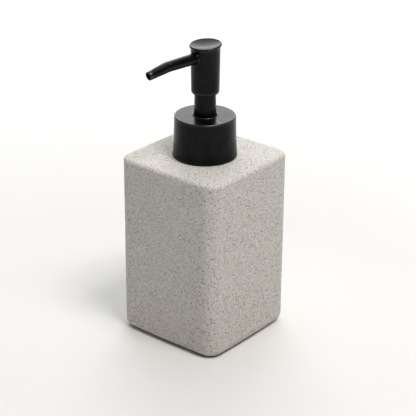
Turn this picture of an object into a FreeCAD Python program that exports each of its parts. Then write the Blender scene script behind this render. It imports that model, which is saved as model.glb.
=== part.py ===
"""Countertop soap dispenser: a square stone-look bottle with a screw-in lotion pump.

Millimetres, +Z up. The origin is the middle of the face that the bottle stands on, and
the Z axis is the axis of the bottle, its mouth and the pump. The head is drawn raised,
and the closure screwed tight. Every piece is a solid of its own.
"""
import FreeCAD
import Part

import math
import os

Vector = FreeCAD.Vector
AXIS_Z = Vector(0, 0, 1)
ORIGIN = Vector(0, 0, 0)

# ---- Bottle -----------------------------------------------------------------
PAD_DROP = 0.25             # how far the base pad stands below the bottle
PAD_THICK = 1.4
PAD_INSET = 7.0             # from the bottle's side to the pad's side
BOTTLE_HALF = 35.0          # middle of a side to the axis
BOTTLE_BOW = 0.7            # how far each side bows outwards
BOTTLE_CORNER = 9.0
BOTTLE_TOP = 105.5
TOP_EDGE = 2.2
BOTTOM_EDGE = 5.0
WALL = 6.0
FLOOR_THICK = 6.6
ROOF_THICK = 7.0
CAVITY_EDGE = 3.0
MOUTH_R = 14.0

# ---- Neck and closure: 28 mm finish with a 6 threads per inch helix -------------
PITCH = 25.4 / 6.0
NECK_R = 12.6               # neck wall, under the thread
NECK_BORE_R = 10.8
NECK_CREST_R = 13.8
NECK_FLANGE_R = 15.2
NECK_FLANGE_THICK = 1.2
NECK_TOP = 119.0
NECK_TURNS = 1.25
NECK_THREAD_Z = 110.6       # middle of the thread where it starts
NECK_THREAD_BASE = 2.2
NECK_THREAD_CREST = 0.8
CLOSURE_R = 15.5
CLOSURE_WALL_R = 14.05      # inside wall, outside the thread
CLOSURE_CREST_R = 12.95
CLOSURE_BOTTOM = 107.2
CLOSURE_WEB_THICK = 1.6
CLOSURE_WEB_HOLE_R = 9.3
CLOSURE_TURNS = 1.1
CLOSURE_THREAD_DROP = 1.45  # how far the closure's thread lies below the neck's
CLOSURE_THREAD_BASE = 1.9
CLOSURE_THREAD_CREST = 0.7
GRIP_RIBS = 24
GRIP_RIB_R = 0.45
THREAD_ROOT = 0.3           # how deep a thread is sunk in its wall, to fuse with it

# ---- Collar shell ---------------------------------------------------------------
COLLAR_GAP = 0.2
COLLAR_TOP = 129.0
COLLAR_ROOF = 1.8
COLLAR_BORE_R = 15.62
COLLAR_LIP_R = 18.05
COLLAR_LOW_R = 17.82
COLLAR_MID_R = 17.36
COLLAR_HIGH_R = 17.1
COLLAR_EDGE = 1.0
COLLAR_HOLE_R = 6.6
COLLAR_BEAD_R = 7.3         # outside of the bead round the hole
COLLAR_BEAD_RISE = 0.35

# ---- Pump housing ---------------------------------------------------------------
GASKET_THICK = 1.0
GASKET_R = 12.3
FLANGE_THICK = 1.5
FLANGE_R = 12.3
BARREL_R = 7.1
BARREL_BORE_R = 6.0
BARREL_BOTTOM = 95.6        # where the wide bore ends
BARREL_CONE = 1.2
POCKET_R = 4.6              # spring pocket below the bore
POCKET_WALL_R = 5.8
SPIGOT_R = 4.7
SPIGOT_BOTTOM = 66.0
SPIGOT_TOP = 77.0
TUBE_SOCKET_R = 3.52
INLET_R = 1.4
SEAT_Z = 78.6
SEAT_RISE = 2.0
SEAT_TOP_R = 3.0
VENT_R = 0.5
VENT_Z = 112.0

# ---- Valve, spring, piston and stem ----------------------------------------------
BALL_R = 2.0
BALL_GAP = 0.02
BALL_LIFT = 1.5
RETAINER_THICK = 2.2
RETAINER_R = 4.55
RETAINER_HOLE_R = 1.3
RETAINER_SLOT_R = 2.6
RETAINER_SLOT_W = 1.2
WIRE_R = 0.4
WIRE_SIDES = 12
SPRING_R = 3.2
SPRING_TURNS = 8
PLUG_FLANGE_Z = 106.5       # underside of the plug's flange
PLUG_FLANGE_TOP = 107.98
PLUG_FLANGE_R = 4.2
PLUG_PILOT_R = 2.3
PLUG_PILOT_LENGTH = 2.0
PLUG_SHOULDER_R = 2.9
PLUG_SHANK_R = 1.96
PLUG_SHANK_TOP = 113.5
PLUG_FIN = 0.9
PISTON_BOTTOM = 108.05
PISTON_TOP = 114.65
PISTON_SLEEVE_R = 4.5
PISTON_LIP_R = 5.96
PISTON_WAIST_R = 5.4
STEM_R = 3.45
STEM_BORE_R = 2.0
STEM_BOTTOM = 109.2
STEM_TOP = 161.5
SHOULDER_R = 4.3
SHOULDER_Z = (115.9, 117.9)
GUIDE_GAP = 0.08            # running clearance round the stem
TUBE_R = 3.5
TUBE_BORE_R = 2.6
TUBE_BOTTOM = 10.0
TUBE_TOP = 76.5
TUBE_CUT_DEG = 35.0         # slant of the tube's lower end

# ---- Guide sleeve -----------------------------------------------------------------
SLEEVE_WEB_Z = 118.0
SLEEVE_WEB_THICK = 1.6
SLEEVE_PLUG_R = 5.95
SLEEVE_FLANGE_R = 9.0
SLEEVE_FLANGE_TOP = 123.4
SLEEVE_BORE_R = 4.75
SLEEVE_FOOT_R = 6.3
SLEEVE_LOW_R = 6.2
SLEEVE_HIGH_R = 5.96
SLEEVE_TOP = 146.0
WIPER_HEIGHT = 1.5

# ---- Head -------------------------------------------------------------------------
HEAD_BOTTOM = 141.7
HEAD_LOW_R = 7.76
HEAD_MID_R = 7.92
HEAD_HIGH_R = 8.08
HEAD_BORE_R = 6.5
HEAD_SEAT_R = 6.9
HEAD_SEAT_Z = 157.6
HEAD_FOOT_EDGE = 1.5
CORE_TOP = 165.3
CORE_HUB_R = 4.6
CORE_WEB_Z = 158.6
PAD_RIM_R = 8.87
PAD_RIM_Z = 169.6           # middle of the pad's rim
PAD_TILT_DEG = 4.8          # down towards the spout
PAD_FLANGE = 1.25
PAD_PLATE = 2.3             # from the rim down to the underside inside the skirt
DISH_DEPTH = 1.25
DISH_R = 8.0
PAD_SKIRT_R = 6.55
PAD_SKIRT_DEPTH = 3.4
PAD_SKIRT_WALL = 0.8

# ---- Spout ------------------------------------------------------------------------
SPOUT_AZIMUTH_DEG = -98.3
SPOUT_Z = 163.05            # spout's axis where it leaves the head
SPOUT_FALL_DEG = 0.9
SPOUT_TIP_FALL_DEG = 9.7
SPOUT_BEND_X = 27.1
SPOUT_BEND_R = 24.0
SPOUT_TIP_LENGTH = 13.4     # from the bend's middle to the tip
SPOUT_ROOT_X = 6.95
SPOUT_ROOT_R = 3.1
SPOUT_BEND_TUBE_R = 2.9
SPOUT_TIP_R = 2.4
SPOUT_FLARE_R = 3.45
SPOUT_FLARE_LENGTH = 2.4
SPOUT_SPIGOT_X = 3.55
SPOUT_SPIGOT_R = 1.9
SPOUT_BORE_ROOT_R = 1.35
SPOUT_BORE_BEND_R = 1.5
SPOUT_BORE_TIP_R = 1.75

# ---- Worked-out places --------------------------------------------------------------
COLLAR_BOTTOM = BOTTLE_TOP + COLLAR_GAP
GASKET_TOP = NECK_TOP + GASKET_THICK
FLANGE_TOP = GASKET_TOP + FLANGE_THICK
CLOSURE_WEB_Z = FLANGE_TOP + 0.06
CLOSURE_TOP = CLOSURE_WEB_Z + CLOSURE_WEB_THICK
SEAT_ANGLE = math.atan2(SEAT_TOP_R - INLET_R, SEAT_RISE)
BALL_Z = SEAT_Z + (BALL_R + BALL_GAP - INLET_R * math.cos(SEAT_ANGLE)) / math.sin(SEAT_ANGLE)
RETAINER_Z = BALL_Z + BALL_R + BALL_LIFT + 0.1
RETAINER_TOP = RETAINER_Z + RETAINER_THICK


# ---- Helpers --------------------------------------------------------------------------
def outline(start, *steps):
    """Closed wire in the XZ plane. A step is a point, or ("arc", through, end),
    or ("curve", point, ..., end)."""
    edges = []
    here = Vector(start[0], 0, start[1])
    first = here
    for step in steps:
        if step[0] == "arc":
            through, end = [Vector(p[0], 0, p[1]) for p in step[1:]]
            edges.append(Part.Arc(here, through, end).toShape())
        elif step[0] == "curve":
            points = [here] + [Vector(p[0], 0, p[1]) for p in step[1:]]
            end = points[-1]
            spline = Part.BSplineCurve()
            spline.interpolate(points)
            edges.append(spline.toShape())
        else:
            end = Vector(step[0], 0, step[1])
            edges.append(Part.makeLine(here, end))
        here = end
    if here.distanceToPoint(first) > 1e-6:
        edges.append(Part.makeLine(here, first))
    return Part.Wire(edges)


def rising_arc(start, end):
    """Step of an outline: the arc from start that arrives at end going straight up."""
    across = end[0] - start[0]
    rise = end[1] - start[1]
    radius = (across * across + rise * rise) / (2 * across)
    half_turn = math.atan2(rise, radius - across) / 2
    through = (end[0] - radius + radius * math.cos(half_turn), end[1] - radius * math.sin(half_turn))
    return ("arc", through, end)


def turned(start, *steps):
    """Solid of revolution about Z from an outline of (radius, height)."""
    return Part.Face(outline(start, *steps)).revolve(ORIGIN, AXIS_Z, 360)


def cylinder(radius, bottom, top):
    return Part.makeCylinder(radius, top - bottom, Vector(0, 0, bottom))


def ring(outer, inner, bottom, top):
    return cylinder(outer, bottom, top).cut(cylinder(inner, bottom - 1, top + 1))


def rounded(shape, size, wanted):
    """Shape with its edges for which wanted(edge) is true rounded."""
    return shape.makeFillet(size, [e for e in shape.Edges if wanted(e)])


def at_height(height):
    """Test for edges that lie flat at one height."""
    def wanted(edge):
        box = edge.BoundBox
        return abs(box.ZMin - height) < 1e-3 and abs(box.ZMax - height) < 1e-3
    return wanted


def bowed_square(half, bow, corner, height):
    """Closed wire of a square with round corners and sides that bow outwards."""
    chord = half - bow
    side_r = (chord * chord + bow * bow) / (2 * bow)
    shift = half - side_r
    # A corner's centre (c, c) lies side_r - corner from the side's centre (shift, 0).
    reach = side_r - corner
    c = (shift + math.sqrt(shift * shift - 2 * (shift * shift - reach * reach))) / 2
    turn = math.atan2(c, c - shift)
    edges = []
    for quarter in range(4):
        def point(radius, angle, centre_x, centre_y):
            x = centre_x + radius * math.cos(angle)
            y = centre_y + radius * math.sin(angle)
            a = quarter * math.pi / 2
            return Vector(x * math.cos(a) - y * math.sin(a), x * math.sin(a) + y * math.cos(a), height)
        side = [point(side_r, t, shift, 0) for t in (-turn, 0, turn)]
        bend = [point(corner, t, c, c) for t in (turn, math.pi / 4, math.pi / 2 - turn)]
        edges.append(Part.Arc(*side).toShape())
        edges.append(Part.Arc(*bend).toShape())
    return Part.Wire(edges)


def bowed_block(half, bow, corner, bottom, top):
    face = Part.Face(bowed_square(half, bow, corner, bottom))
    return face.extrude(Vector(0, 0, top - bottom))


def helical_ridge(root, crest, root_width, crest_width, start_z, turns):
    """Ridge of trapezoid section on a right-hand helix. It is sunk in the wall at root."""
    sink = THREAD_ROOT if crest < root else -THREAD_ROOT
    extra = THREAD_ROOT * (root_width - crest_width) / abs(root - crest)
    wide = (root_width + extra) / 2
    narrow = crest_width / 2
    corners = [(root + sink, -wide), (crest, -narrow), (crest, narrow), (root + sink, wide)]
    points = [Vector(r, 0, z) for r, z in corners]
    section = Part.makePolygon(points + points[:1])
    path = Part.Wire(Part.makeHelix(PITCH, PITCH * turns, root).Edges)
    ridge = path.makePipeShell([section], True, True)
    ridge.translate(Vector(0, 0, start_z))
    return ridge


def to_spout(shape):
    """Turn a shape drawn with the spout along +X to where the spout points."""
    turned_shape = shape.copy()
    turned_shape.rotate(ORIGIN, AXIS_Z, SPOUT_AZIMUTH_DEG)
    return turned_shape


def tilted(shape):
    """Put a shape drawn about the pad's rim plane on the head, tilted to the spout."""
    placed = shape.copy()
    placed.rotate(ORIGIN, Vector(0, 1, 0), PAD_TILT_DEG)
    placed.translate(Vector(0, 0, PAD_RIM_Z))
    return to_spout(placed)


# ---- Bottle pieces ----------------------------------------------------------------------
def base_pad():
    pad = bowed_block(BOTTLE_HALF - PAD_INSET, BOTTLE_BOW, BOTTLE_CORNER / 2, 0, PAD_THICK)
    return rounded(pad, 0.3, at_height(0))


def bottle():
    body = bowed_block(BOTTLE_HALF, BOTTLE_BOW, BOTTLE_CORNER, PAD_DROP, BOTTLE_TOP)
    body = rounded(body, TOP_EDGE, at_height(BOTTLE_TOP))
    body = rounded(body, BOTTOM_EDGE, at_height(PAD_DROP))
    floor = PAD_DROP + FLOOR_THICK
    roof = BOTTLE_TOP - ROOF_THICK
    cavity = bowed_block(BOTTLE_HALF - WALL, BOTTLE_BOW, BOTTLE_CORNER - WALL + 2, floor, roof)
    cavity = rounded(cavity, CAVITY_EDGE, at_height(floor))
    cavity = rounded(cavity, CAVITY_EDGE, at_height(roof))
    recess_half = BOTTLE_HALF - PAD_INSET + 0.25
    recess = bowed_block(recess_half, BOTTLE_BOW, BOTTLE_CORNER / 2 + 0.25, -1, PAD_THICK + 0.02)
    mouth = cylinder(MOUTH_R, roof - 1, BOTTLE_TOP + 1)
    return body.cut(cavity).cut(recess).cut(mouth)


def neck_insert():
    """Threaded neck, with a grooved barrel for the adhesive."""
    barrel_r = MOUTH_R - 0.1
    groove_r = barrel_r - 0.5
    steps = [(NECK_BORE_R, NECK_TOP), (NECK_BORE_R, 97.0), (barrel_r - 1.0, 97.0), (barrel_r, 98.0)]
    for low in (99.0, 101.0, 103.0):
        steps += [(barrel_r, low), (groove_r, low), (groove_r, low + 1.0), (barrel_r, low + 1.0)]
    steps += [
        (barrel_r, BOTTLE_TOP + 0.02),
        (NECK_FLANGE_R, BOTTLE_TOP + 0.02),
        (NECK_FLANGE_R, BOTTLE_TOP + NECK_FLANGE_THICK),
        (NECK_R, BOTTLE_TOP + NECK_FLANGE_THICK),
        (NECK_R, NECK_TOP - 0.5),
        (NECK_R - 0.5, NECK_TOP),
    ]
    neck = turned(*steps)
    thread = helical_ridge(NECK_R, NECK_CREST_R, NECK_THREAD_BASE, NECK_THREAD_CREST,
                           NECK_THREAD_Z, NECK_TURNS)
    return neck.fuse(thread)


def neck_gasket():
    return ring(GASKET_R, NECK_BORE_R - 0.6, NECK_TOP + 0.01, GASKET_TOP - 0.01)


def closure():
    """Inner screw cap, with grip ribs that hold the collar shell."""
    shell = turned(
        (CLOSURE_WALL_R, CLOSURE_BOTTOM),
        (CLOSURE_R, CLOSURE_BOTTOM),
        (CLOSURE_R, CLOSURE_TOP - 0.6),
        (CLOSURE_R - 0.6, CLOSURE_TOP),
        (CLOSURE_WEB_HOLE_R, CLOSURE_TOP),
        (CLOSURE_WEB_HOLE_R, CLOSURE_WEB_Z),
        (CLOSURE_WALL_R, CLOSURE_WEB_Z),
    )
    for i in range(GRIP_RIBS):
        angle = 2 * math.pi * i / GRIP_RIBS
        reach = CLOSURE_R + 0.1 - GRIP_RIB_R
        foot = Vector(reach * math.cos(angle), reach * math.sin(angle), CLOSURE_BOTTOM + 1)
        height = CLOSURE_TOP - CLOSURE_BOTTOM - 2.5
        shell = shell.fuse(Part.makeCylinder(GRIP_RIB_R, height, foot))
    thread = helical_ridge(CLOSURE_WALL_R, CLOSURE_CREST_R, CLOSURE_THREAD_BASE, CLOSURE_THREAD_CREST,
                           NECK_THREAD_Z - CLOSURE_THREAD_DROP, CLOSURE_TURNS)
    return shell.fuse(thread)


def collar_shell():
    """Outer cover: it flares gently to a small lip above the bottle, and has a bead round its hole."""
    lip_z = COLLAR_BOTTOM + 0.5
    roof_z = COLLAR_TOP - COLLAR_ROOF
    return turned(
        (COLLAR_BORE_R, COLLAR_BOTTOM),
        (COLLAR_LIP_R - 0.35, COLLAR_BOTTOM),
        rising_arc((COLLAR_LIP_R - 0.35, COLLAR_BOTTOM), (COLLAR_LIP_R, lip_z)),
        ("curve", (COLLAR_LOW_R, lip_z + 2.0), (COLLAR_LOW_R - 0.2, 111.4),
         (COLLAR_MID_R, 117.4), (COLLAR_HIGH_R + 0.1, 122.0), (COLLAR_HIGH_R, COLLAR_TOP - COLLAR_EDGE)),
        ("arc", (COLLAR_HIGH_R - 0.29 * COLLAR_EDGE, COLLAR_TOP - 0.29 * COLLAR_EDGE),
         (COLLAR_HIGH_R - COLLAR_EDGE, COLLAR_TOP)),
        (COLLAR_BEAD_R, COLLAR_TOP),
        ("arc", ((COLLAR_HOLE_R + COLLAR_BEAD_R) / 2, COLLAR_TOP + COLLAR_BEAD_RISE),
         (COLLAR_HOLE_R, COLLAR_TOP)),
        (COLLAR_HOLE_R, roof_z),
        (COLLAR_BORE_R - 0.8, roof_z),
        (COLLAR_BORE_R, roof_z - 0.8),
    )


# ---- Pump pieces --------------------------------------------------------------------------
def pump_housing():
    body = turned(
        (BARREL_BORE_R, FLANGE_TOP),
        (FLANGE_R, FLANGE_TOP),
        (FLANGE_R, GASKET_TOP),
        (BARREL_R + 0.6, GASKET_TOP),
        (BARREL_R, GASKET_TOP - 2.0),
        (BARREL_R, BARREL_BOTTOM + 0.6),
        (POCKET_WALL_R, BARREL_BOTTOM - 1.4),
        (POCKET_WALL_R, SEAT_Z + 1.6),
        (SPIGOT_R, SEAT_Z - 0.6),
        (SPIGOT_R, SPIGOT_BOTTOM),
        (TUBE_SOCKET_R + 0.4, SPIGOT_BOTTOM),
        (TUBE_SOCKET_R, SPIGOT_BOTTOM + 0.8),
        (TUBE_SOCKET_R, SPIGOT_TOP),
        (INLET_R, SPIGOT_TOP),
        (INLET_R, SEAT_Z),
        (SEAT_TOP_R, SEAT_Z + SEAT_RISE),
        (SEAT_TOP_R, RETAINER_Z),
        (POCKET_R, RETAINER_Z),
        (POCKET_R, BARREL_BOTTOM),
        (BARREL_BORE_R, BARREL_BOTTOM + BARREL_CONE),
    )
    vent = Part.makeCylinder(VENT_R, BARREL_R + 1, Vector(0, 0, VENT_Z), Vector(1, 0, 0))
    return body.cut(vent)


def guide_sleeve():
    """Retainer that snaps into the housing, with the tube that the head slides over."""
    hole_r = STEM_R + GUIDE_GAP
    return turned(
        (hole_r, SLEEVE_WEB_Z),
        (SLEEVE_PLUG_R, SLEEVE_WEB_Z),
        (SLEEVE_PLUG_R, FLANGE_TOP + 0.01),
        (SLEEVE_FLANGE_R, FLANGE_TOP + 0.01),
        (SLEEVE_FLANGE_R, SLEEVE_FLANGE_TOP - 0.4),
        (SLEEVE_FLANGE_R - 0.4, SLEEVE_FLANGE_TOP),
        ("arc", (7.15, 124.3), (SLEEVE_FOOT_R, 126.6)),
        (SLEEVE_FOOT_R, COLLAR_TOP + 0.1),
        ("curve", (SLEEVE_LOW_R, 130.6), (6.07, 133.6), (SLEEVE_HIGH_R, 138.5)),
        (SLEEVE_HIGH_R - 0.05, SLEEVE_TOP - 0.5),
        (SLEEVE_HIGH_R - 0.5, SLEEVE_TOP),
        (SLEEVE_BORE_R, SLEEVE_TOP),
        (SLEEVE_BORE_R, SLEEVE_WEB_Z + SLEEVE_WEB_THICK),
        (hole_r, SLEEVE_WEB_Z + SLEEVE_WEB_THICK),
    )


def stem_wiper():
    """Soft ring whose upper lip wipes the stem."""
    bottom = SLEEVE_WEB_Z + SLEEVE_WEB_THICK + 0.02
    top = bottom + WIPER_HEIGHT
    inner = STEM_R + 0.04
    outer = SLEEVE_BORE_R - 0.02
    return turned(
        (inner + 0.3, bottom),
        (outer, bottom),
        (outer, top - 0.4),
        (inner + 0.5, top - 0.6),
        (inner + 0.2, top),
        (inner, top),
    )


def dip_tube():
    """Tube to the floor of the bottle, with a slanted lower end."""
    tube = ring(TUBE_R, TUBE_BORE_R, TUBE_BOTTOM, TUBE_TOP)
    knife = Part.makeBox(30, 30, 30, Vector(-15, -15, -30))
    knife.rotate(ORIGIN, Vector(0, 1, 0), TUBE_CUT_DEG)
    lift = TUBE_BOTTOM + TUBE_R * math.tan(math.radians(TUBE_CUT_DEG))
    knife.translate(Vector(0, 0, lift))
    return tube.cut(knife)


def inlet_ball():
    return Part.makeSphere(BALL_R, Vector(0, 0, BALL_Z))


def ball_retainer():
    """Disc with a crossed slot, so that soap passes when the ball is up."""
    disc = ring(RETAINER_R, RETAINER_HOLE_R, RETAINER_Z + 0.01, RETAINER_TOP)
    for quarter in range(2):
        slot = Part.makeBox(2 * RETAINER_SLOT_R, RETAINER_SLOT_W, RETAINER_THICK + 2,
                            Vector(-RETAINER_SLOT_R, -RETAINER_SLOT_W / 2, RETAINER_Z - 1))
        slot.rotate(ORIGIN, AXIS_Z, 90 * quarter)
        disc = disc.cut(slot)
    return disc


def return_spring():
    """Open-coil spring between the ball retainer and the stem plug, its wire many-sided."""
    bottom = RETAINER_TOP + WIRE_R + 0.02
    height = PLUG_FLANGE_Z - WIRE_R - 0.02 - bottom
    helix = Part.makeHelix(height / SPRING_TURNS, height, SPRING_R)
    slope = math.atan2(height / SPRING_TURNS, 2 * math.pi * SPRING_R)
    points = []
    for side in range(WIRE_SIDES):
        angle = 2 * math.pi * (side + 0.5) / WIRE_SIDES
        out = WIRE_R * math.cos(angle)
        up = WIRE_R * math.sin(angle)
        points.append(Vector(SPRING_R + out, -up * math.sin(slope), up * math.cos(slope)))
    section = Part.makePolygon(points + points[:1])
    wire = Part.Wire(helix.Edges).makePipeShell([section], True, True)
    wire.translate(Vector(0, 0, bottom))
    return wire


def piston():
    """Sliding seal: a sleeve on the stem, with a lip each way on the housing's bore."""
    middle = (PISTON_BOTTOM + PISTON_TOP) / 2
    lip_low = PISTON_BOTTOM + 0.4
    lip_high = PISTON_TOP - 0.1
    return turned(
        (STEM_R + GUIDE_GAP, PISTON_BOTTOM),
        (PISTON_SLEEVE_R - 0.4, PISTON_BOTTOM),
        (PISTON_SLEEVE_R, middle - 1.2),
        (PISTON_LIP_R - 0.5, lip_low),
        (PISTON_LIP_R, lip_low),
        (PISTON_LIP_R, lip_low + 0.7),
        (PISTON_WAIST_R, middle - 0.7),
        (PISTON_WAIST_R, middle + 0.7),
        (PISTON_LIP_R, lip_high - 0.7),
        (PISTON_LIP_R, lip_high),
        (PISTON_LIP_R - 0.5, lip_high),
        (PISTON_SLEEVE_R, middle + 1.2),
        (PISTON_SLEEVE_R, PISTON_TOP),
        (STEM_R + GUIDE_GAP, PISTON_TOP),
    )


def stem_plug():
    """Valve plug: the flange closes the piston, and the fluted shank lets soap past."""
    flange = turned(
        (0, PLUG_FLANGE_Z - PLUG_PILOT_LENGTH),
        (PLUG_PILOT_R - 0.5, PLUG_FLANGE_Z - PLUG_PILOT_LENGTH),
        (PLUG_PILOT_R, PLUG_FLANGE_Z - PLUG_PILOT_LENGTH + 0.5),
        (PLUG_PILOT_R, PLUG_FLANGE_Z),
        (PLUG_FLANGE_R, PLUG_FLANGE_Z),
        (PLUG_FLANGE_R, PLUG_FLANGE_TOP - 0.4),
        (PLUG_FLANGE_R - 0.3, PLUG_FLANGE_TOP),
        (0, PLUG_FLANGE_TOP),
    )
    shoulder = cylinder(PLUG_SHOULDER_R, PLUG_FLANGE_TOP - 0.5, STEM_BOTTOM - 0.03)
    shank = cylinder(PLUG_SHANK_R, PLUG_FLANGE_TOP - 0.5, PLUG_SHANK_TOP)
    fins = shoulder.fuse(shank)
    height = PLUG_SHANK_TOP - PLUG_FLANGE_TOP + 1
    corner = Vector(-PLUG_SHOULDER_R - 1, -PLUG_FIN / 2, PLUG_FLANGE_TOP - 0.5)
    blade = Part.makeBox(2 * PLUG_SHOULDER_R + 2, PLUG_FIN, height, corner)
    cross = blade.copy()
    cross.rotate(ORIGIN, AXIS_Z, 90)
    return flange.fuse(fins.common(blade.fuse(cross)))


def stem():
    """Hollow stem, with the shoulder that pushes the piston down."""
    low, high = SHOULDER_Z
    return turned(
        (STEM_BORE_R, STEM_BOTTOM),
        (STEM_R - 0.3, STEM_BOTTOM),
        (STEM_R, STEM_BOTTOM + 0.6),
        (STEM_R, low),
        (SHOULDER_R, low),
        (SHOULDER_R, high - 0.4),
        (SHOULDER_R - 0.4, high),
        (STEM_R, high),
        (STEM_R, STEM_TOP),
        (STEM_BORE_R, STEM_TOP),
    )


# ---- Head pieces -----------------------------------------------------------------------------
def spout_pipe(root_x, root_r, bend_r, tip_r, overrun=0.0):
    """Solid pipe along the spout's line, drawn along +X: taper, bend, taper."""
    fall = math.radians(SPOUT_FALL_DEG)
    drop = math.radians(SPOUT_TIP_FALL_DEG)
    setback = SPOUT_BEND_R * math.tan((drop - fall) / 2)
    axis = Vector(math.cos(fall), 0, -math.sin(fall))
    tip_axis = Vector(math.cos(drop), 0, -math.sin(drop))
    knee = Vector(SPOUT_BEND_X, 0, SPOUT_Z - SPOUT_BEND_X * math.tan(fall))
    root = Vector(root_x, 0, SPOUT_Z - root_x * math.tan(fall))
    bend_start = knee - axis * setback
    bend_end = knee + tip_axis * setback
    first = Part.makeCone(root_r, bend_r, (bend_start - root).Length, root, axis)
    section = Part.Face(Part.Wire(Part.makeCircle(bend_r, bend_start, axis)))
    centre = bend_start - Vector(math.sin(fall), 0, math.cos(fall)) * SPOUT_BEND_R
    bend = section.revolve(centre, Vector(0, 1, 0), SPOUT_TIP_FALL_DEG - SPOUT_FALL_DEG)
    length = SPOUT_TIP_LENGTH - setback + overrun
    last = Part.makeCone(bend_r, tip_r, length, bend_end, tip_axis)
    return first.fuse(bend).fuse(last)


def spout():
    """Tapered tube with a flared root and a spigot that fits the head core."""
    outside = spout_pipe(SPOUT_ROOT_X, SPOUT_ROOT_R, SPOUT_BEND_TUBE_R, SPOUT_TIP_R)
    flare_end = SPOUT_ROOT_X + SPOUT_FLARE_LENGTH
    flare = turned(
        (0, SPOUT_ROOT_X),
        (SPOUT_FLARE_R, SPOUT_ROOT_X),
        (SPOUT_FLARE_R, SPOUT_ROOT_X + 0.7),
        ("arc", (SPOUT_ROOT_R + 0.12, SPOUT_ROOT_X + 1.2), (SPOUT_ROOT_R - 0.02, flare_end)),
        (0, flare_end),
    )
    flare.rotate(ORIGIN, Vector(0, 1, 0), 90 + SPOUT_FALL_DEG)
    flare.translate(Vector(0, 0, SPOUT_Z))
    spigot_length = SPOUT_ROOT_X + 1 - SPOUT_SPIGOT_X
    spigot = Part.makeCylinder(SPOUT_SPIGOT_R, spigot_length,
                               Vector(SPOUT_SPIGOT_X, 0, SPOUT_Z), Vector(1, 0, 0))
    bore = spout_pipe(SPOUT_SPIGOT_X - 1, SPOUT_BORE_ROOT_R, SPOUT_BORE_BEND_R, SPOUT_BORE_TIP_R, 0.5)
    return to_spout(outside.fuse(flare).fuse(spigot).cut(bore))


def head_core():
    """Hub inside the head: stem socket below, soap channel to the spout at the side."""
    body = turned(
        (0, HEAD_SEAT_Z),
        (CORE_HUB_R, HEAD_SEAT_Z),
        (CORE_HUB_R, CORE_WEB_Z),
        (HEAD_SEAT_R - 0.04, CORE_WEB_Z),
        (HEAD_SEAT_R - 0.04, CORE_TOP),
        (0, CORE_TOP),
    )
    socket = cylinder(STEM_R + 0.01, HEAD_SEAT_Z - 1, STEM_TOP + 0.02)
    riser = cylinder(SPOUT_BORE_ROOT_R, STEM_TOP, SPOUT_Z)
    channel = Part.makeCylinder(SPOUT_BORE_ROOT_R, HEAD_SEAT_R, Vector(0, 0, SPOUT_Z), Vector(1, 0, 0))
    spigot_hole = Part.makeCylinder(SPOUT_SPIGOT_R + 0.02, HEAD_SEAT_R,
                                    Vector(SPOUT_SPIGOT_X - 0.05, 0, SPOUT_Z), Vector(1, 0, 0))
    return body.cut(socket).cut(riser).cut(to_spout(channel)).cut(to_spout(spigot_hole))


def head_shell():
    """Tapered cover that slides over the guide sleeve."""
    foot = (HEAD_BORE_R + 0.15, HEAD_BOTTOM)
    top = PAD_RIM_Z + 2
    body = turned(
        foot,
        rising_arc(foot, (HEAD_LOW_R, HEAD_BOTTOM + HEAD_FOOT_EDGE)),
        ("curve", (HEAD_MID_R, 152.0), (HEAD_HIGH_R, 165.0)),
        (HEAD_HIGH_R + 0.02, top),
        (HEAD_SEAT_R, top),
        (HEAD_SEAT_R, HEAD_SEAT_Z + 0.98),
        (HEAD_BORE_R, HEAD_SEAT_Z + 0.98),
        (HEAD_BORE_R, HEAD_BOTTOM + 0.6),
    )
    cutter = tilted(Part.makeBox(40, 40, 20, Vector(-20, -20, -PAD_FLANGE - 0.02)))
    hole = Part.makeCylinder(SPOUT_FLARE_R + 0.03, 12, Vector(0.5, 0, SPOUT_Z - 0.1), Vector(1, 0, 0))
    return body.cut(cutter).cut(to_spout(hole))


def thumb_pad():
    """Dished disc with a rounded rim, a flared underside and a push-in skirt."""
    rim = PAD_RIM_R
    under = -PAD_FLANGE
    pad = turned(
        (0, -DISH_DEPTH),
        ("arc", (DISH_R * 0.55, -DISH_DEPTH * 0.72), (DISH_R, -0.12)),
        ("arc", (DISH_R + 0.35, 0.0), (rim - 0.25, -0.25)),
        ("arc", (rim - 0.04, -0.42), (rim, -0.65)),
        ("arc", (rim - 0.15, -0.98), (rim - 0.5, under)),
        (PAD_SKIRT_R, under),
        (PAD_SKIRT_R, -PAD_SKIRT_DEPTH),
        (PAD_SKIRT_R - PAD_SKIRT_WALL, -PAD_SKIRT_DEPTH),
        (PAD_SKIRT_R - PAD_SKIRT_WALL, -PAD_PLATE),
        (0, -PAD_PLATE),
    )
    return tilted(pad)


PIECES = [
    base_pad, bottle, neck_insert, neck_gasket, closure, collar_shell,
    pump_housing, guide_sleeve, stem_wiper, dip_tube, inlet_ball, ball_retainer, return_spring,
    piston, stem_plug, stem, head_core, head_shell, spout, thumb_pad,
]


def main():
    os.makedirs("parts", exist_ok=True)
    for piece in PIECES:
        shape = piece()
        shape.exportStep("parts/" + piece.__name__ + ".step")
        box = shape.BoundBox
        print("%-14s solids %d valid %s volume %9.1f mm3  z %.2f to %.2f" % (
            piece.__name__, len(shape.Solids), shape.isValid(), shape.Volume, box.ZMin, box.ZMax))


main()
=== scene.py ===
"""Square stone-look soap dispenser with a black pump: its looks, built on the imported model.

Profiles and other sizes are in millimetres, as on a drawing, and become metres when a
mesh is made. +Z is up, and the Z axis is the axis of the bottle and of the pump.
"""

import math

import bmesh
import bpy
from mathutils import Matrix, Vector, noise


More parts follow.
